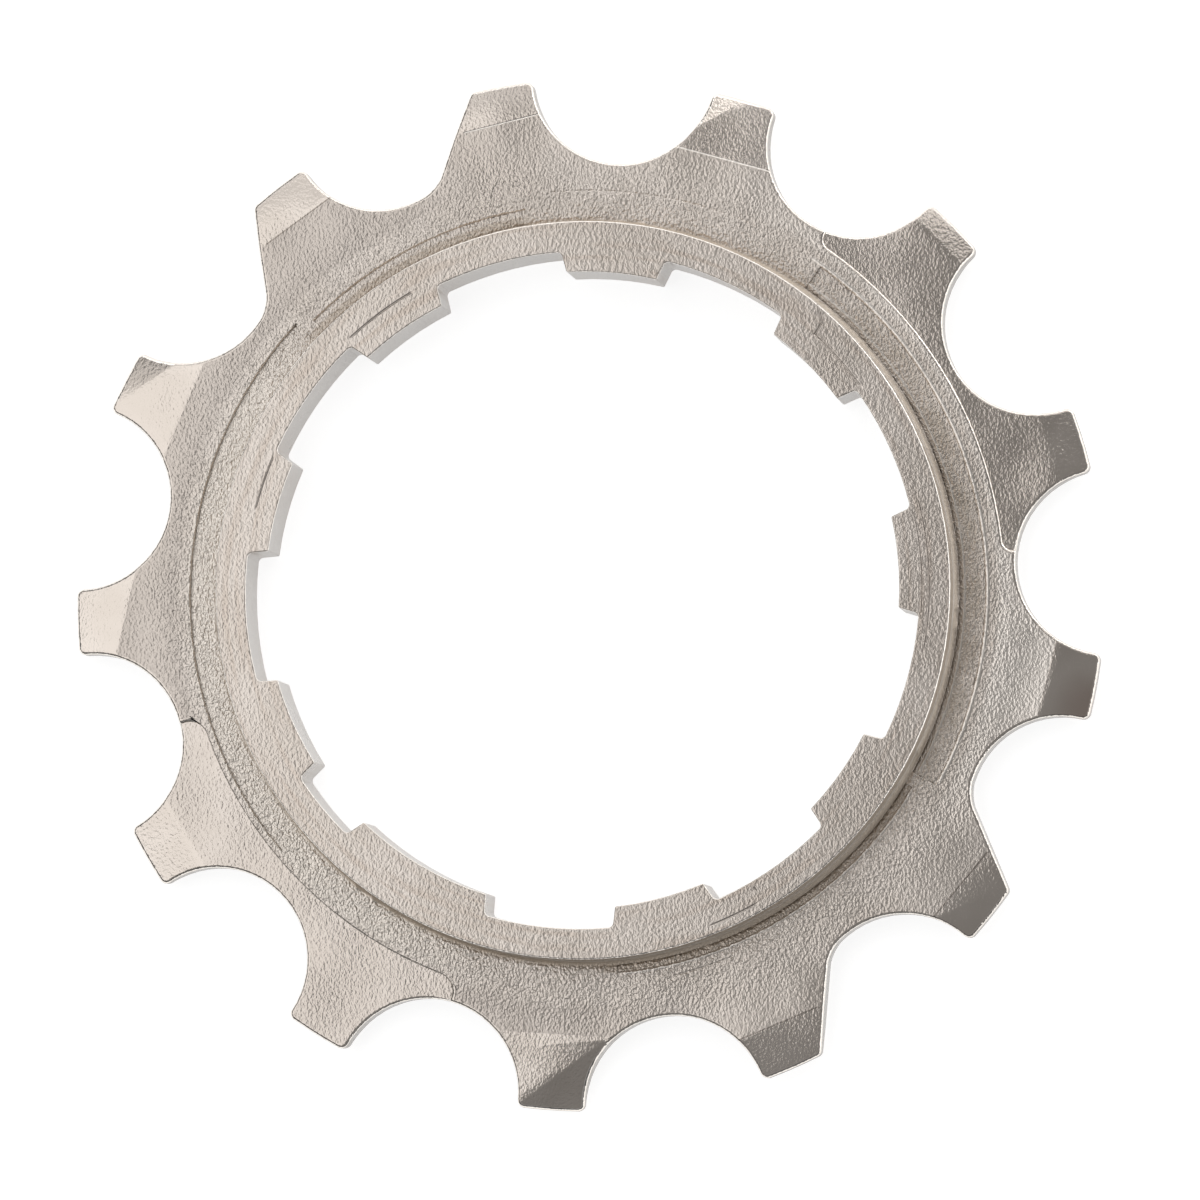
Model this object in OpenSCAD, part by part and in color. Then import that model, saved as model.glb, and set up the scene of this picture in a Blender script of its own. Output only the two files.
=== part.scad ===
// Thirteen-tooth cog with a built-in spacer boss, for a splined cassette body.
// It lies on its flat back face at z = 0, and the axis of the bore is Z.

/* [Teeth] */
// Number of teeth
tooth_count = 13; // [13:1:16]
// Pitch of the chain that runs over the teeth
chain_pitch = 12.7; // [12.5:0.05:13.2]
// Diameter of the chain's rollers
roller_d = 7.75; // [7.4:0.05:7.9]
// Play under a roller that sits at its pitch point
seat_clearance = 0.26; // [0.1:0.02:0.4]
// Radius of the round gap between two teeth
gap_r = 4.77; // [4.4:0.05:4.9]
// Height of the teeth above the bottom of the gaps
tooth_height = 4.55; // [4:0.05:4.6]
// Rounding of the corners at a tooth's tip
tip_corner_r = 0.4; // [0.2:0.05:0.6]
// Turn of the first tooth from the X axis
tooth_phase = 99.8; // [90:0.1:110]

/* [Sloped flanks] */
// Lean of a sloped flank from the middle line of its tooth
flank_lean = 28.6; // [24:0.2:34]
// Distance of a sloped flank from the tooth's middle line, at the tip
flank_offset = 1.54; // [1.4:0.02:1.8]
// Rounding at the foot of a sloped flank
flank_foot_r = 2.6; // [1:0.1:2.8]

/* [Plate] */
// Thickness of the toothed plate
plate_t = 1.8; // [1.6:0.05:2.2]
// Radius, on the middle line of a tooth, at which the plain bevel starts
bevel_start_r = 24.75; // [24.2:0.05:25.2]
// Slope of the plain bevel
bevel_slope = 13; // [6:0.5:18]
// Radius at which the long bevel of a guide tooth starts
guide_start_r = 23.3; // [23:0.05:23.8]
// Slope of the long bevel
guide_slope = 6; // [3:0.5:9]
// Radius at which the slanted facet crosses the middle line of a guide tooth
slant_start_r = 25.6; // [25.2:0.05:26]
// Skew of the slanted facet
slant_skew = 38; // [30:1:45]
// Slope of the slanted facet
slant_slope = 18; // [10:0.5:22]
// Width of the chamfer round the back of the teeth
back_chamfer_w = 1.3; // [0.6:0.1:2]
// Slope of the chamfer round the back of the teeth
back_chamfer_slope = 12; // [6:0.5:18]

/* [Shift ramps] */
// Depth of the two pressed areas in the front of the plate
ramp_depth = 0.2; // [0.1:0.02:0.3]
// Distance that the lower left area reaches inside the bottom of the gaps
ramp_a_inset = 1.2; // [0.9:0.05:1.4]
// Distance that the upper right area reaches inside the bottom of the gaps
ramp_b_inset = 0.55; // [0.3:0.05:0.8]
// Corner radius of the pressed areas
ramp_corner_r = 1; // [0.4:0.1:1.2]
// Turn from the middle of a gap to the start of the lower left area
ramp_a_lead = 0.8; // [0.2:0.1:3]
// Turn from the middle of a gap to the start of the upper right area
ramp_b_lead = 2.2; // [1:0.1:4]
// Turn from the end of the lower left area to the middle of the next gap
ramp_a_trail = 0.6; // [0.2:0.1:3]
// Turn from the end of the upper right area to the middle of the next gap
ramp_b_trail = 2.4; // [1:0.1:4]

/* [Boss] */
// Width of the hub from the back face to the front of the boss
hub_width = 3.75; // [3.4:0.05:4.8]
// Outer diameter of the boss
boss_d = 38.3; // [37.4:0.1:38.6]
// Radius of the fillet at the foot of the boss
boss_fillet_r = 0.4; // [0.2:0.05:0.7]
// Chamfer of the front edge of the boss
boss_chamfer = 0.06; // [0.04:0.02:0.3]

/* [Reliefs beside the boss] */
// Width of the wide reliefs
relief_w = 1.35; // [1:0.05:1.5]
// Depth of the wide reliefs
relief_depth = 0.2; // [0.1:0.02:0.4]
// Turn from the first tooth to the start of the wide relief
relief_turn = 37.2; // [30:0.2:44]
// Arc that a wide relief covers
relief_span = 83; // [60:1:100]
// Width of the upper narrow relief
slit_a_w = 0.8; // [0.4:0.05:1]
// Width of the lower narrow relief
slit_b_w = 0.35; // [0.2:0.05:0.6]
// Depth of the narrow reliefs
slit_depth = 0.14; // [0.08:0.02:0.3]
// Arc of the upper narrow relief
slit_a_span = 36; // [20:1:40]
// Arc of the lower narrow relief
slit_b_span = 54; // [30:1:60]
// Arc of plain face between a narrow relief and the wide one after it
relief_pause = 2; // [1:0.5:4]
// How far the reliefs cut into the foot of the boss
foot_cut = 0.1; // [0.06:0.02:0.16]

/* [Spline bore] */
// Diameter of the bore between the tabs
bore_d = 35.1; // [34.8:0.1:35.6]
// Diameter of the circle on the tips of the tabs
tab_circle_d = 33; // [32.4:0.1:33.4]
// Number of tabs
tab_count = 9; // [7:1:10]
// Width of a tab at its tip
tab_tip_w = 4.85; // [4.2:0.05:5.2]
// Width of a tab at the bore
tab_root_w = 5.65; // [5.3:0.05:6.2]
// Rounding in the corners beside a tab
tab_fillet_r = 0.3; // [0.1:0.05:0.4]
// Turn of the tab in front of the key tab from the X axis
tab_phase = 4.4; // [-6:0.1:14]
// Turn by which the key tab is wider than the others
key_turn = 9.5; // [7:0.5:12]

/* [Hidden] */
$fn = 120;

// Circles of the toothed rim
tooth_step = 360 / tooth_count;
pitch_r = chain_pitch / (2 * sin(tooth_step / 2));
root_r = pitch_r - roller_d / 2 - seat_clearance;
tip_r = root_r + tooth_height;
gap_centre_r = root_r + gap_r;

// Circles of the hub
boss_r = boss_d / 2;
bore_r = bore_d / 2;
relief_in_r = boss_r + boss_fillet_r - foot_cut;
tab_tip_r = tab_circle_d / 2;
tab_step = 360 / tab_count;
key_tab = 6;

// How far a cutter runs past the metal that it cuts
over = 1;
// Half the width of the cutters that bevel the teeth
bevel_half_w = 3.3;
// Facets of a small corner's circle, and how much larger it is drawn to cross both sides cleanly
corner_facets = 32;
corner_ease = 1.01;

// Teeth with a sloped flank, and teeth that lie in a pressed area
sloped_teeth = [1, 6, 7, 13];
ramp_teeth = [3, 4, 9, 10];
// Tooth, skew and shift of each plain bevel
plain_bevels = [
    [1, 3.5, 0.2], [3, 3.3, 0.85], [4, -3.2, 0.3], [5, -3.3, -0.35], [6, -1.2, 0],
    [7, -1.2, -0.2], [10, 0.8, -0.35], [11, -15.6, -0.45], [13, -1.7, 0]
];
// Tooth, skew and shift of each long bevel, and share of the skew and shift of its slanted facet
guide_bevels = [[2, 2.2, 0.35, 0.87, 0.5], [8, 0.5, -0.3, 1.05, -0.3], [12, 1.6, 0, -0.94, 0.5]];
// Gaps, each named by the tooth before it, where the pressed areas start and end
ramp_a_gaps = [10, 8];
ramp_b_gaps = [4, 2];
// Teeth from the first pressed area and its reliefs to the second
pair_teeth = 7;

function unit(v) = v / norm(v);
function polar(r, a) = [r * cos(a), r * sin(a)];
function has(list, i) = len([for (n = list) if (n == i) n]) > 0;
function tooth_turn(i) = tooth_phase - tooth_step * (i - 1);
function gap_turn(i) = tooth_turn(i) - tooth_step / 2;
function front_z(i) = plate_t - (has(ramp_teeth, i) ? ramp_depth : 0);

// A tooth lies along X here, with the gap on its left at half a step
gap_c = polar(gap_centre_r, tooth_step / 2);
tip_c_r = tip_r - tip_corner_r;
tip_c_cos = (pow(tip_c_r, 2) + pow(gap_centre_r, 2) - pow(gap_r + tip_corner_r, 2))
    / (2 * tip_c_r * gap_centre_r);
tip_c = polar(tip_c_r, tooth_step / 2 - acos(tip_c_cos));

// Sloped flank: its top, the way out of the metal and the way down the flank
flank_top = [sqrt(pow(tip_r, 2) - pow(flank_offset, 2)), flank_offset];
flank_out = [sin(flank_lean), cos(flank_lean)];
flank_down = [-cos(flank_lean), sin(flank_lean)];
gap_from_flank = (gap_c - flank_top) * flank_out;
gap_down_flank = (gap_c - flank_top) * flank_down;
flank_in_top = flank_top - tip_corner_r * flank_out;
flank_dot = flank_in_top * flank_down;
flank_slide = -flank_dot - sqrt(pow(flank_dot, 2) - flank_in_top * flank_in_top + pow(tip_c_r, 2));
flank_tip_c = flank_in_top + flank_slide * flank_down;
foot_drop = sqrt(pow(gap_r - flank_foot_r, 2) - pow(gap_from_flank - flank_foot_r, 2));
foot_c = gap_c + (flank_foot_r - gap_from_flank) * flank_out + foot_drop * flank_down;

// Side of a tab that lies along X, and the centre of the rounding beside it
tab_side = unit([bore_r - tab_tip_r, (tab_root_w - tab_tip_w) / 2]);
tab_out = [-tab_side[1], tab_side[0]];
tab_base = [tab_tip_r, tab_tip_w / 2] + tab_fillet_r * tab_out;
tab_dot = tab_base * tab_side;
tab_slide = -tab_dot + sqrt(pow(tab_dot, 2) - tab_base * tab_base + pow(bore_r - tab_fillet_r, 2));
tab_c = tab_base + tab_slide * tab_side;

// Corner between the directions u and v that a circle about c rounds off
module corner(c, u, v, r) {
    difference() {
        polygon([c, c + 2 * r * u, c + 2 * r * (u + v), c + 2 * r * v]);
        translate(c) circle(r = corner_ease * r, $fn = corner_facets);
    }
}

// Part of a ring between two radii and two turns
module sector(r1, r2, from, to) {
    far = 3 * r2;
    intersection() {
        difference() {
            circle(r = r2);
            circle(r = r1);
        }
        polygon([[0, 0], polar(far, from), polar(far, (from + to) / 2), polar(far, to)]);
    }
}

module plain_tip_corner() {
    corner(tip_c, unit(tip_c), unit(gap_c - tip_c), tip_corner_r);
}

module plain_gap() {
    translate(gap_c) circle(r = gap_r);
    plain_tip_corner();
}

module sloped_gap() {
    reach = 2 * tip_r;
    difference() {
        union() {
            translate(gap_c) circle(r = gap_r);
            polygon([
                flank_top - over * flank_down,
                flank_top - over * flank_down + over * flank_out,
                flank_top + gap_down_flank * flank_down + over * flank_out,
                flank_top + gap_down_flank * flank_down
            ]);
        }
        polygon([
            flank_top - reach * flank_down,
            flank_top + reach * flank_down,
            flank_top + reach * flank_down - reach * flank_out,
            flank_top - reach * flank_down - reach * flank_out
        ]);
        corner(foot_c, unit(foot_c - gap_c), -flank_out, flank_foot_r);
    }
    corner(flank_tip_c, unit(flank_tip_c), flank_out, tip_corner_r);
}

module rim_outline() {
    difference() {
        circle(r = tip_r);
        for (i = [1 : tooth_count]) rotate(tooth_turn(i)) {
            if (has(sloped_teeth, i)) sloped_gap();
            else plain_gap();
            mirror([0, 1]) plain_tip_corner();
        }
    }
}

// Boss, its foot fillet and the disc under it, turned in one piece
module hub() {
    rotate_extrude() {
        square([boss_r + boss_fillet_r, plate_t]);
        polygon([
            [0, 0], [boss_r, 0], [boss_r, hub_width - boss_chamfer],
            [boss_r - boss_chamfer, hub_width], [0, hub_width]
        ]);
        difference() {
            translate([boss_r, plate_t]) square(boss_fillet_r);
            translate([boss_r + boss_fillet_r, plate_t + boss_fillet_r]) circle(r = boss_fillet_r);
        }
    }
}

module tab() {
    end = tab_tip_r - over;
    past = bore_r + over;
    spread = tab_side[1] / tab_side[0];
    end_y = tab_tip_w / 2 - over * spread;
    past_y = tab_tip_w / 2 + (past - tab_tip_r) * spread;
    polygon([[end, -end_y], [past, -past_y], [past, past_y], [end, end_y]]);
    for (side = [0, 1]) mirror([0, side]) corner(tab_c, unit(tab_c), -tab_out, tab_fillet_r);
}

module spline_outline() {
    circle(r = tab_tip_r);
    difference() {
        circle(r = bore_r);
        for (k = [0 : tab_count - 1]) rotate(tab_phase + tab_step * k) tab();
        rotate(tab_phase + tab_step * key_tab - key_turn) tab();
    }
}

// Cutter whose lower face slopes down from a crease, with more cutters laid on that face
module slope_cutter(place, skew, slope) {
    translate(place) rotate([0, slope, skew]) {
        translate([-over, -bevel_half_w, 0]) cube([over + tooth_height, 2 * bevel_half_w, plate_t]);
        children();
    }
}

module plain_bevel(i, skew, shift) {
    rotate(tooth_turn(i)) slope_cutter([bevel_start_r + shift, 0, front_z(i)], skew, bevel_slope);
}

// Long bevel, with a facet that slants down from it to one corner of the tooth
module guide_bevel(i, skew, shift, slant_share, slant_shift) {
    start_r = guide_start_r + shift;
    slant_from = slant_start_r + slant_shift - start_r;
    rotate(tooth_turn(i)) slope_cutter([start_r, 0, front_z(i)], skew, guide_slope)
        slope_cutter([slant_from, 0, 0], slant_share * slant_skew, slant_slope);
}

module ramp(gaps, lead, trail, inset) {
    from = gap_turn(gaps[0]) + lead;
    to = gap_turn(gaps[1]) - trail;
    inner_r = root_r - inset;
    r = min(ramp_corner_r, inset);
    c = polar(inner_r + r, asin(r / (inner_r + r)));
    translate([0, 0, plate_t - ramp_depth]) linear_extrude(ramp_depth + over) difference() {
        sector(inner_r, tip_r + over, from, to);
        rotate(from) corner(c, -unit(c), [0, -1], r);
        rotate(to) mirror([0, 1]) corner(c, -unit(c), [0, -1], r);
    }
}

// Band pressed into the plate along the foot of the boss
module relief(width, depth, from, span) {
    translate([0, 0, plate_t - depth]) linear_extrude(depth + boss_fillet_r)
        sector(relief_in_r, relief_in_r + width, from, from + span);
}

module back_chamfer() {
    in_r = tip_r - back_chamfer_w;
    out_r = tip_r + over;
    rotate_extrude() polygon([
        [in_r, 0], [in_r, -over], [out_r, -over], [out_r, (out_r - in_r) * tan(back_chamfer_slope)]
    ]);
}

module cog() {
    pair_turn = pair_teeth * tooth_step;
    relief_from = tooth_phase + relief_turn;
    slit_end = relief_from - relief_pause;
    color([0.74, 0.71, 0.66]) difference() {
        union() {
            linear_extrude(plate_t) rim_outline();
            hub();
        }
        translate([0, 0, -over]) linear_extrude(hub_width + 2 * over) spline_outline();
        back_chamfer();
        ramp(ramp_a_gaps, ramp_a_lead, ramp_a_trail, ramp_a_inset);
        ramp(ramp_b_gaps, ramp_b_lead, ramp_b_trail, ramp_b_inset);
        relief(relief_w, relief_depth, relief_from, relief_span);
        relief(relief_w, relief_depth, relief_from + pair_turn, relief_span);
        relief(slit_a_w, slit_depth, slit_end - slit_a_span, slit_a_span);
        relief(slit_b_w, slit_depth, slit_end + pair_turn - slit_b_span, slit_b_span);
        for (b = plain_bevels) plain_bevel(b[0], b[1], b[2]);
        for (b = guide_bevels) guide_bevel(b[0], b[1], b[2], b[3], b[4]);
    }
}

cog();
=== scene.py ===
import math

import bmesh
import bpy
from mathutils import Matrix, Vector


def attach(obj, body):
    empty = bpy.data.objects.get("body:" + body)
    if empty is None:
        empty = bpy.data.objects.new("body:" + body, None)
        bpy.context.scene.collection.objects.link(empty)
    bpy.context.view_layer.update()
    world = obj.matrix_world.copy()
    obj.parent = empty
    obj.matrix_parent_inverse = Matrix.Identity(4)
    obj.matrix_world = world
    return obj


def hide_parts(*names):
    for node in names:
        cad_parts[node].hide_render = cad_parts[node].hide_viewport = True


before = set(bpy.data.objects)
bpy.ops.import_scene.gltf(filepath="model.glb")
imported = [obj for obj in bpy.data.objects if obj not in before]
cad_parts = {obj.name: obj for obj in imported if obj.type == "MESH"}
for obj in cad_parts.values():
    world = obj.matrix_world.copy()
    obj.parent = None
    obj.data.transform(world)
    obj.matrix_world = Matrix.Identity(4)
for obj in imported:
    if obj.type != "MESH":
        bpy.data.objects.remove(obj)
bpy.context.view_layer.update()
deck = bpy.context.scene


# Cog: one piece of steel, stamped from plate with its boss pressed up and turned, its teeth coined
# with bevels for shifting, then tumbled and nickel plated. The edges are rolled over by the die.
RIM_ROLL = 0.00018        # roll of the front edges of the teeth and gaps
EDGE_ROLL = 0.00008       # roll of the other edges
FINE_ROLL = 0.00002       # roll beside the boss and at its chamfer, where there is no room for more
SHARP_TURN = math.radians(24)     # an edge that turns more than this is rolled
SOFT_TURN = math.radians(2)       # a crease of the face that turns less than this is smooth
MERGE = 0.000001          # corners that lie closer than this are one
FLAT_TURN = math.radians(0.4)     # facets that turn less than this are one
BOSS_EDGE = 0.0190        # radius at which the boss's front edge begins
FOOT = 0.0197             # radius to which the boss and the corner beside it reach
RIM = 0.0214              # radius outside which only the teeth and gaps have edges
LEANING = 0.92            # upward part of the normal of the most slanted facet of a tooth
FACING = 0.85             # the same, for a face that counts as a front face
UPRIGHT = 0.2             # the same, for a wall

cog_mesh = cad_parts["cog"].data.copy()
cog = bpy.data.objects.new("cog_plated", cog_mesh)
deck.collection.objects.link(cog)

shell = bmesh.new()
shell.from_mesh(cog_mesh)
bmesh.ops.remove_doubles(shell, verts=shell.verts, dist=MERGE)
bmesh.ops.dissolve_limit(shell, angle_limit=FLAT_TURN, verts=shell.verts, edges=shell.edges)
shell.normal_update()
roll = shell.edges.layers.float.new("bevel_weight_edge")
for edge in shell.edges:
    slopes = sorted(face.normal.z for face in edge.link_faces)
    inner_r = min(v.co.xy.length for v in edge.verts)
    if slopes[0] > LEANING and inner_r > FOOT:
        edge.smooth = edge.calc_face_angle(0) < SOFT_TURN
    elif edge.calc_face_angle(0) > SHARP_TURN and edge.is_convex:
        on_rim = inner_r > RIM and slopes[-1] > FACING and abs(slopes[0]) < UPRIGHT
        beside_boss = BOSS_EDGE < inner_r < FOOT
        width = RIM_ROLL if on_rim else FINE_ROLL if beside_boss else EDGE_ROLL
        edge[roll] = width / RIM_ROLL
shell.to_mesh(cog_mesh)
shell.free()

rolled_edge = cog.modifiers.new("rolled_edge", "BEVEL")
rolled_edge.limit_method = "WEIGHT"
rolled_edge.width = RIM_ROLL
rolled_edge.segments = 3
rolled_edge.use_clamp_overlap = False
cog_mesh.shade_smooth()
flat_faces = cog.modifiers.new("flat_faces", "WEIGHTED_NORMAL")
flat_faces.weight = 100
flat_faces.keep_sharp = True

nickel = bpy.data.materials.new("satin_nickel")
nickel.use_nodes = True
nodes = nickel.node_tree.nodes
links = nickel.node_tree.links
metal = nodes["Principled BSDF"]


def feed(value, socket):
    """Links a socket's value, or sets a plain number or colour."""
    if isinstance(value, bpy.types.NodeSocket):
        links.new(value, socket)
    else:
        socket.default_value = value


def maths(operation, first, second=0.0, third=0.0):
    step = nodes.new("ShaderNodeMath")
    step.operation = operation
    for value, socket in zip((first, second, third), step.inputs):
        feed(value, socket)
    return step.outputs[0]


def rise(value, low, high):
    """Goes smoothly from 0 at low to 1 at high."""
    step = nodes.new("ShaderNodeMapRange")
    step.interpolation_type = "SMOOTHSTEP"
    feed(value, step.inputs["Value"])
    step.inputs["From Min"].default_value = low
    step.inputs["From Max"].default_value = high
    return step.outputs["Result"]


def between(value, low, high, soft):
    up = rise(value, low - soft / 2, low + soft / 2)
    down = rise(value, high - soft / 2, high + soft / 2)
    return maths("MULTIPLY", up, maths("SUBTRACT", 1.0, down))


def grain(at, scale, detail=0.0, roughness=0.5):
    """Noise on the metal, with its scale in lumps a millimetre."""
    noise = nodes.new("ShaderNodeTexNoise")
    noise.inputs["Scale"].default_value = scale
    noise.inputs["Detail"].default_value = detail
    noise.inputs["Roughness"].default_value = roughness
    links.new(at, noise.inputs["Vector"])
    return noise.outputs["Fac"]


def blend(amount, first, second):
    mix = nodes.new("ShaderNodeMix")
    mix.data_type = "RGBA"
    feed(amount, mix.inputs["Factor"])
    for value, socket in zip((first, second), (mix.inputs[6], mix.inputs[7])):
        feed(value if isinstance(value, bpy.types.NodeSocket) else (*value, 1), socket)
    return mix.outputs[2]


# Places on the metal in millimetres, with the distance from the axis and the turn about it
spot = nodes.new("ShaderNodeTexCoord")
in_mm = nodes.new("ShaderNodeVectorMath")
in_mm.operation = "SCALE"
in_mm.inputs["Scale"].default_value = 1000
links.new(spot.outputs["Object"], in_mm.inputs[0])
place = in_mm.outputs[0]
apart = nodes.new("ShaderNodeSeparateXYZ")
links.new(place, apart.inputs[0])
x, y, z = apart.outputs
radius = maths("SQRT", maths("ADD", maths("MULTIPLY", x, x), maths("MULTIPLY", y, y)))


def toward(turn, half, soft):
    """1 in the sector that reaches half to each side of turn, in degrees."""
    a = math.radians(turn)
    ahead = maths("ADD", maths("MULTIPLY", x, math.cos(a)), maths("MULTIPLY", y, math.sin(a)))
    return rise(
        maths("DIVIDE", ahead, radius),
        math.cos(math.radians(half + soft)), math.cos(math.radians(half - soft)),
    )


def ring_line(at_r, turn, half, width, floor_z):
    """A line of constant radius, 1 along its middle, on the face at the height floor_z."""
    off = maths("ABSOLUTE", maths("SUBTRACT", radius, at_r))
    line = maths("SUBTRACT", 1.0, rise(off, 0.0, width))
    on_face = between(z, floor_z - FACE_BAND, floor_z + FACE_BAND, 0.02)
    return maths("MULTIPLY", maths("MULTIPLY", line, toward(turn, half, 0.6)), on_face)


def straight_line(start, end, width, floor_z):
    """A line from start to end, 1 along its middle, on the face at the height floor_z."""
    run = (end - start).length
    way = (end - start) / run
    from_x = maths("SUBTRACT", x, start.x)
    from_y = maths("SUBTRACT", y, start.y)
    along = maths("ADD", maths("MULTIPLY", from_x, way.x), maths("MULTIPLY", from_y, way.y))
    off = maths("SUBTRACT", maths("MULTIPLY", from_y, way.x), maths("MULTIPLY", from_x, way.y))
    line = maths("SUBTRACT", 1.0, rise(maths("ABSOLUTE", off), 0.0, width))
    on_face = between(z, floor_z - FACE_BAND, floor_z + FACE_BAND, 0.02)
    return maths("MULTIPLY", maths("MULTIPLY", line, between(along, 0.0, run, 0.1)), on_face)


def crease_line(tooth, at_r, skew, half):
    """A line across a tooth, where a coined slope starts at the radius at_r on its middle line."""
    turn = math.radians(FIRST_TOOTH - TOOTH_STEP * (tooth - 1))
    middle = at_r * Vector((math.cos(turn), math.sin(turn)))
    tilt = turn + math.radians(skew)
    side = half * Vector((-math.sin(tilt), math.cos(tilt)))
    return straight_line(middle - side, middle + side, CREASE_W, PLATE_Z)


def hill(at_x, at_y, width, rise_by):
    """A low, wide hump that the press leaves in a tooth."""
    off_x = maths("SUBTRACT", x, at_x)
    off_y = maths("SUBTRACT", y, at_y)
    square = maths("ADD", maths("MULTIPLY", off_x, off_x), maths("MULTIPLY", off_y, off_y))
    return maths("MULTIPLY", maths("EXPONENT", maths("MULTIPLY", square, -1 / width ** 2)), rise_by)


def total(values):
    whole = values[0]
    for value in values[1:]:
        whole = maths("ADD", whole, value)
    return whole


PLATE_Z = 1.8             # height of the plate's face
BOSS_Z = 3.75             # height of the boss's face
RELIEF = 0.2              # depth of the relief beside the boss
FACE_BAND = 0.06          # height above and below a face in which its lines show
CREASE_W = 0.06           # half the width of a pressed crease
FIRST_TOOTH = 99.8        # turn of the first tooth, in degrees
TOOTH_STEP = 360 / 13
MARK_DEPTH = 0.035        # depth of a tool mark

WARM_GREY = (0.61, 0.548, 0.492)
PALE_GREY = (0.68, 0.616, 0.56)
SHEARED = (0.36, 0.32, 0.28)
BROACHED = (0.62, 0.585, 0.55)
DARK_TARNISH_AND_SHADE = (0.30, 0.235, 0.165)
TARNISH_AND_SHADE = (0.36, 0.30, 0.23)
NARROW_FLOOR_BROWN = (0.38, 0.31, 0.24)
LIT_CREAM = (0.76, 0.70, 0.63)
WALL_SHEEN_TAN = (0.60, 0.48, 0.36)
WALL_SHEEN_PALE = (0.72, 0.62, 0.51)
TURNED_RING = (0.50, 0.41, 0.34)
COINED_GREY = (0.52, 0.465, 0.42)
RAW_SHADED_GREY = (0.47, 0.42, 0.38)
RAW_LIT_PALE = (0.84, 0.78, 0.72)
TIP_SHADE_BROWN = (0.42, 0.31, 0.26)
HIGHLIGHT_WHITE = (0.95, 0.90, 0.84)
PAINTED_SHADE_LINE = (0.20, 0.165, 0.14)

# Plating: warm grey, with cream and grey clouds
clouds = grain(place, 0.22, 2.0, 0.6)
colour = blend(rise(clouds, 0.35, 0.65), WARM_GREY, PALE_GREY)

# Sheared walls of the teeth, duller than the faces, and the cleaner walls that the broach cuts
facing = nodes.new("ShaderNodeNewGeometry")
turned = nodes.new("ShaderNodeSeparateXYZ")
links.new(facing.outputs["True Normal"], turned.inputs[0])
walls = maths("SUBTRACT", 1.0, rise(maths("ABSOLUTE", turned.outputs[2]), 0.05, 0.4))
walls = maths("MULTIPLY", walls, maths("SUBTRACT", 1.0, between(radius, 18.5, 20.5, 0.5)))
in_bore = maths("SUBTRACT", 1.0, rise(radius, 18.2, 18.5))
wall_grey = blend(in_bore, SHEARED, BROACHED)
colour = blend(maths("MULTIPLY", walls, 0.8), colour, wall_grey)

# Brown tarnish and painted shade in the corner round the boss, darker at the lower side, and in the
# right relief beside it, darker brown floors in the narrow reliefs, a painted highlight as a cream
# band at the lower left, and a dull wall on the boss with a painted reflection in tan
patchy = rise(grain(place, 0.5, 2.0, 0.65), 0.34, 0.62)
foot = maths("MULTIPLY", between(radius, 19.1, 19.5, 0.25), between(z, 1.2, 3.6, 0.3))
# painted shade: the corner is darker toward the lower side, on top of the patchy tarnish
shaded_low_side = toward(280, 60, 25.0)
tarnish_and_shade_share = maths("MULTIPLY_ADD", patchy, 0.25, maths("MULTIPLY", shaded_low_side, 0.3))
colour = blend(maths("MULTIPLY", foot, tarnish_and_shade_share), colour, DARK_TARNISH_AND_SHADE)
front = rise(z, 1.0, 1.3)
# tarnish and painted shade: the relief on the right, on the side away from the light, is darker brown
relief_floor = maths("MULTIPLY", between(radius, 19.5, 20.6, 0.3), toward(10, 34, 12.0))
relief_tarnish_and_shade = maths("MULTIPLY", relief_floor, maths("MULTIPLY_ADD", patchy, 0.35, 0.05))
relief_tarnish_and_shade = maths("MULTIPLY", relief_tarnish_and_shade, front)
colour = blend(relief_tarnish_and_shade, colour, TARNISH_AND_SHADE)
# darker brown on the floors of the narrow reliefs at the upper left and the lower right
narrow_floor = maths("MULTIPLY", between(radius, 19.4, 19.9, 0.2), toward(118, 19, 2.0))
lower_floor = maths("MULTIPLY", between(radius, 19.4, 19.8, 0.2), toward(300, 28, 2.0))
narrow_share = maths("MULTIPLY", maths("ADD", narrow_floor, lower_floor), 0.55)
colour = blend(maths("MULTIPLY", narrow_share, front), colour, NARROW_FLOOR_BROWN)
# painted highlight: a cream band at the lower left, on the side toward the light
lit_side_floor = maths("MULTIPLY", between(radius, 19.3, 21.0, 0.3), toward(196, 52, 12.0))
painted_light_share = maths("MULTIPLY", maths("MULTIPLY", lit_side_floor, front), 0.6)
colour = blend(painted_light_share, colour, LIT_CREAM)
boss_wall = maths("MULTIPLY", between(radius, 19.0, 19.45, 0.15), between(z, 1.83, 3.66, 0.1))
# painted reflection: the boss's wall is tan, paler toward the right
wall_painted_sheen = blend(toward(350, 75, 20.0), WALL_SHEEN_TAN, WALL_SHEEN_PALE)
colour = blend(maths("MULTIPLY", boss_wall, 0.7), colour, wall_painted_sheen)

# Faint rings that the turning tool leaves on the boss
round_way = nodes.new("ShaderNodeCombineXYZ")
along_ring = (radius, maths("MULTIPLY", x, 0.06), maths("MULTIPLY", y, 0.06))
for value, socket in zip(along_ring, round_way.inputs):
    links.new(value, socket)
rings = rise(grain(round_way.outputs[0], 2.6, 2.0, 0.6), 0.45, 0.70)
rings = maths("MULTIPLY", rings, maths("SUBTRACT", 1.0, rise(radius, 19.0, 19.2)))
colour = blend(maths("MULTIPLY", rings, 0.45), colour, TURNED_RING)

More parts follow.
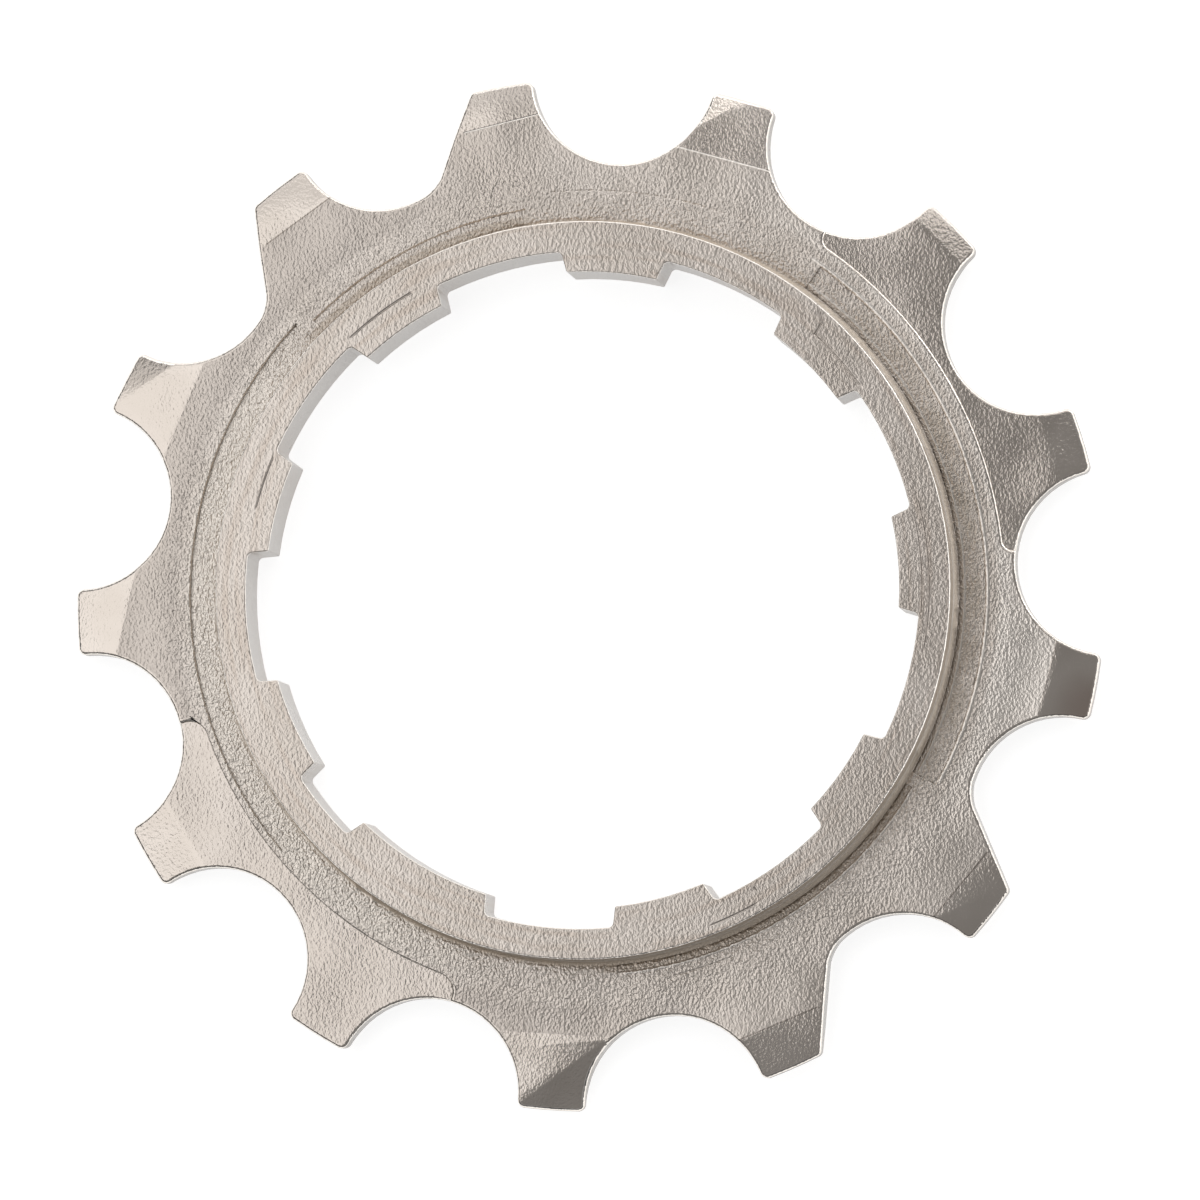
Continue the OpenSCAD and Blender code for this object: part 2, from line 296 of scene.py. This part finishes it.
# Smoother and greyer where the press has coined the plate, and painted shade in brown at the corner of
# one tooth
sloped = maths("SUBTRACT", 1.0, rise(turned.outputs[2], 0.996, 0.9985))
lowered = maths("SUBTRACT", 1.0, rise(z, 1.70, 1.78))
coined = maths("MULTIPLY", rise(radius, 21.0, 21.4), maths("MAXIMUM", sloped, lowered))
sunk = maths("MULTIPLY", between(z, 1.55, 1.65, 0.01), rise(turned.outputs[2], 0.9965, 0.999))
colour = blend(maths("MULTIPLY", maths("MULTIPLY", sunk, coined), 0.4), colour, COINED_GREY)
corner_x = maths("SUBTRACT", x, 26.2)
corner_y = maths("SUBTRACT", y, -6.2)
corner_square = maths("ADD", maths("MULTIPLY", corner_x, corner_x), maths("MULTIPLY", corner_y, corner_y))
corner_off = maths("SQRT", corner_square)
# painted shade: a brown darkening at the corner of one tooth's tip
tip_shade_share = maths("MULTIPLY", maths("SUBTRACT", 1.0, rise(corner_off, 0.4, 2.4)), 0.5)
colour = blend(tip_shade_share, colour, TIP_SHADE_BROWN)

# The raw faces of the teeth, with painted shade on the left ones, a little greyer than the turned
# boss, and painted light on the right ones, paler
raw_tooth = maths("MULTIPLY", rise(radius, 21.2, 21.8), maths("SUBTRACT", 1.0, coined))
# painted shade: the left teeth's raw faces are greyer
shaded_left_side = maths("MULTIPLY", raw_tooth, toward(190, 85, 25.0))
colour = blend(maths("MULTIPLY", shaded_left_side, 0.6), colour, RAW_SHADED_GREY)
# painted light: the right teeth's raw faces are paler
lit_right_side = maths("MULTIPLY", raw_tooth, toward(15, 40, 20.0))
colour = blend(maths("MULTIPLY", lit_right_side, 0.8), colour, RAW_LIT_PALE)

# Rolled edges and the boss's chamfer, which the tumbling polishes smoother, with a painted highlight
# that makes them pale
polish_and_highlight = between(turned.outputs[2], 0.25, 0.88, 0.1)
polish_and_highlight = maths("MULTIPLY", polish_and_highlight, maths("SUBTRACT", 1.0, between(radius, 19.2, 19.7, 0.1)))
# painted highlight: the rolled edges and the chamfer are painted pale
colour = blend(maths("MULTIPLY", polish_and_highlight, 0.9), colour, HIGHLIGHT_WHITE)

# Fine marks of the press and the turning tool on the boss and the plate, with painted shade along the
# tool marks and the dark creases, and painted highlights along the light creases and the ridges
boss_marks = total([
    ring_line(17.85, 41.2, 5.8, 0.09, BOSS_Z),
    straight_line(Vector((12.17, 13.04)), Vector((12.55, 13.7)), 0.09, BOSS_Z),
    straight_line(Vector((12.55, 13.7)), Vector((12.31, 14.68)), 0.09, BOSS_Z),
    ring_line(17.88, 126.0, 6.3, 0.08, BOSS_Z),
    ring_line(17.58, 161.0, 4.6, 0.07, BOSS_Z),
    ring_line(17.66, 4.0, 8.6, 0.07, BOSS_Z),
    ring_line(18.04, 2.0, 12.5, 0.07, BOSS_Z),
    ring_line(18.67, 295.2, 4.0, 0.08, BOSS_Z),
    straight_line(Vector((9.14, -15.71)), Vector((8.98, -15.44)), 0.08, BOSS_Z),
])
plate_marks = total([
    ring_line(20.95, 80.0, 15.0, 0.08, PLATE_Z),
    ring_line(20.45, 287.3, 4.5, 0.08, PLATE_Z),
])
shaded_creases = total([
    crease_line(6, 24.75, -1.2, 2.4),
    crease_line(7, 24.55, -1.2, 2.4),
    crease_line(13, 24.75, -1.7, 2.2),
])
highlit_creases = maths("ADD", crease_line(1, 24.95, 3.5, 2.2), crease_line(2, 23.65, 2.2, 2.6))
ridges = total([
    ring_line(20.95, 13.5, 42.0, 0.14, PLATE_Z),
    ring_line(19.72, 13.5, 42.0, 0.10, PLATE_Z - RELIEF),
    ring_line(19.92, 302.0, 26.0, 0.09, PLATE_Z),
])
marks = total([
    boss_marks,
    maths("MULTIPLY", plate_marks, 0.5),
    maths("MULTIPLY", highlit_creases, 0.6),
    maths("MULTIPLY", ridges, -1.7),
])
# painted shade: dark lines along the tool marks on the boss and along the dark creases
line_shade_share = maths("ADD", maths("MULTIPLY", boss_marks, 0.35), maths("MULTIPLY", shaded_creases, 0.8))
colour = blend(line_shade_share, colour, PAINTED_SHADE_LINE)
# painted highlights: pale lines along the light creases and the ridges
line_highlight_share = maths("ADD", maths("MULTIPLY", highlit_creases, 0.7), maths("MULTIPLY", ridges, 0.5))
colour = blend(line_highlight_share, colour, HIGHLIGHT_WHITE)
links.new(colour, metal.inputs["Base Color"])

# Heights on the metal in millimetres: the sandy grain of the tumbled face, coarse by the boss and
# finer on the boss, the teeth and the pressed slopes, and the swell that stamping leaves
drawn = nodes.new("ShaderNodeVectorMath")
drawn.operation = "MULTIPLY"
drawn.inputs[1].default_value = (1.15, 0.85, 1.0)
links.new(place, drawn.inputs[0])
sand = grain(drawn.outputs[0], 6.5, 1.5, 0.6)
swell = grain(place, 0.33)
raw_face = maths("MULTIPLY", rise(z, 1.45, 1.5), maths("SUBTRACT", 1.0, coined))
off_boss = rise(radius, 19.2, 19.6)
by_boss = maths("SUBTRACT", 1.0, rise(radius, 20.5, 24.0))
raw_share = maths("MULTIPLY", raw_face, off_boss)
raw_share = maths("MULTIPLY", maths("MULTIPLY_ADD", by_boss, 0.9, 0.1), raw_share)
on_tooth = rise(radius, 20.5, 23.0)
sand_share = total([maths("MULTIPLY", raw_share, 0.055), maths("MULTIPLY", on_tooth, -0.010), 0.034])
height = total([
    maths("MULTIPLY", sand, maths("MULTIPLY", sand_share, maths("SUBTRACT", 1.0, ridges))),
    maths("MULTIPLY", swell, maths("MULTIPLY", off_boss, 0.12)),
    hill(-25.4, -0.3, 1.8, 0.11),
    hill(-23.0, 11.1, 1.8, 0.12),
    hill(26.4, -4.8, 2.4, 0.15),
    hill(26.2, 7.9, 2.4, 0.10),
    hill(9.5, -21.5, 2.4, 0.08),
    hill(19.6, 19.4, 2.6, 0.07),
    maths("MULTIPLY", marks, -MARK_DEPTH),
])
bump = nodes.new("ShaderNodeBump")
bump.inputs["Strength"].default_value = 1.0
bump.inputs["Distance"].default_value = 0.001
links.new(height, bump.inputs["Height"])
links.new(bump.outputs["Normal"], metal.inputs["Normal"])
rough = maths("MULTIPLY_ADD", clouds, 0.12, maths("MULTIPLY_ADD", coined, -0.07, 0.23))
rough = total([rough, maths("MULTIPLY", boss_wall, 0.25), maths("MULTIPLY", polish_and_highlight, -0.12)])
links.new(rough, metal.inputs["Roughness"])
dull = maths("MULTIPLY_ADD", walls, 0.65, maths("MULTIPLY", boss_wall, 0.6))
links.new(maths("SUBTRACT", 1.0, dull), metal.inputs["Metallic"])
cog_mesh.materials.clear()
cog_mesh.materials.append(nickel)

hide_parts("cog")
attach(cog, "root")


# Sheet: the flat white sheet that the cog lies on. It shows white to the camera and in the metal, and
# is a plain matt sheet under that, so that it keeps the shadow.
SHEET_R = 0.9
SHEET_Z = -0.00002        # just under the cog's back
SHEET_GREY = 0.45         # what the sheet gives back of the lamps' light
SHEET_GLOW = 0.82         # what it adds to that, where it is seen

sheet_mesh = bpy.data.meshes.new("sheet")
disc = bmesh.new()
bmesh.ops.create_circle(
    disc, cap_ends=True, radius=SHEET_R, segments=96, matrix=Matrix.Translation((0, 0, SHEET_Z))
)
disc.to_mesh(sheet_mesh)
disc.free()
sheet = bpy.data.objects.new("sheet", sheet_mesh)
deck.collection.objects.link(sheet)

white = bpy.data.materials.new("white_sheet")
white.use_nodes = True
nodes = white.node_tree.nodes
links = white.node_tree.links
nodes.remove(nodes["Principled BSDF"])
matt = nodes.new("ShaderNodeBsdfDiffuse")
matt.inputs["Color"].default_value = (SHEET_GREY, SHEET_GREY, SHEET_GREY, 1)
ray = nodes.new("ShaderNodeLightPath")
seen = maths("MAXIMUM", ray.outputs["Is Camera Ray"], ray.outputs["Is Glossy Ray"])
seen = maths("MAXIMUM", seen, ray.outputs["Is Transmission Ray"])
glow = nodes.new("ShaderNodeEmission")
glow.inputs["Color"].default_value = (1, 1, 1, 1)
links.new(maths("MULTIPLY", seen, SHEET_GLOW), glow.inputs["Strength"])
both = nodes.new("ShaderNodeAddShader")
links.new(matt.outputs[0], both.inputs[0])
links.new(glow.outputs[0], both.inputs[1])
links.new(both.outputs[0], nodes["Material Output"].inputs["Surface"])
sheet_mesh.materials.append(white)


# Studio: four softboxes above the cog for its faces, from its left to behind it, two low strips
# along the top and the right for the rolled edges, and an even, weaker light from all round.
SKY_LOW = 0.07            # brightness of the room at the horizon and below
SKY_MORE = 0.20           # what it gains toward the ceiling

world = bpy.data.worlds.new("studio")
deck.world = world
world.use_nodes = True
world.node_tree.nodes["Background"].inputs["Color"].default_value = (1, 1, 1, 1)
nodes = world.node_tree.nodes
links = world.node_tree.links
sky = nodes.new("ShaderNodeTexCoord")
sky_way = nodes.new("ShaderNodeSeparateXYZ")
links.new(sky.outputs["Generated"], sky_way.inputs[0])
even = maths("MULTIPLY_ADD", rise(sky_way.outputs[2], 0.2, 0.75), SKY_MORE, SKY_LOW)
links.new(even, nodes["Background"].inputs["Strength"])


BOX_Z = 0.24              # height of the softboxes, which face down
STRIP_Z = 0.11            # height of the strips, which face the cog


def softbox(name, place_at, size, size_y, radiance):
    """A lamp that a mirror shows at the brightness radiance, where 1 is white."""
    box = bpy.data.lights.new(name, "AREA")
    box.shape = "RECTANGLE"
    box.size = size
    box.size_y = size_y
    box.energy = radiance * math.pi * size * size_y
    hung = bpy.data.objects.new(name, box)
    hung.location = place_at
    if place_at[2] < BOX_Z:
        hung.rotation_euler = Vector(place_at).to_track_quat("Z", "Y").to_euler()
    deck.collection.objects.link(hung)


softbox("key_box", (-0.175, 0.005, BOX_Z), 0.30, 0.25, 1.08)
softbox("upper_box", (-0.19, 0.25, BOX_Z), 0.30, 0.24, 0.66)
softbox("back_box", (0.10, 0.22, BOX_Z), 0.12, 0.20, 1.1)
softbox("far_box", (-0.06, 0.38, BOX_Z), 0.14, 0.14, 3.0)
softbox("top_strip", (0.10, 0.42, STRIP_Z), 0.80, 0.20, 1.5)
softbox("right_strip", (0.44, 0.05, STRIP_Z), 0.80, 0.20, 1.5)


# Camera: nearly square on to the front, leaning to the lower right as in the photograph.
EYE_OFF = 0.42            # distance of the camera from the cog

eye = bpy.data.cameras.new("eye")
eye.lens = 242.5
eye.sensor_width = 36
eye.clip_end = 20
camera = bpy.data.objects.new("eye", eye)
lean = Vector((0.1205, -0.0696, 0.9903)).normalized()
aim = Vector((0.00073, -0.00042, 0.0015))
across = Vector((0, 1, 0)).cross(lean).normalized()
camera.matrix_world = Matrix.Translation(aim + lean * EYE_OFF) @ Matrix(
    (across, lean.cross(across), lean)
).transposed().to_4x4()
deck.collection.objects.link(camera)
deck.camera = camera
deck.view_settings.view_transform = "Standard"
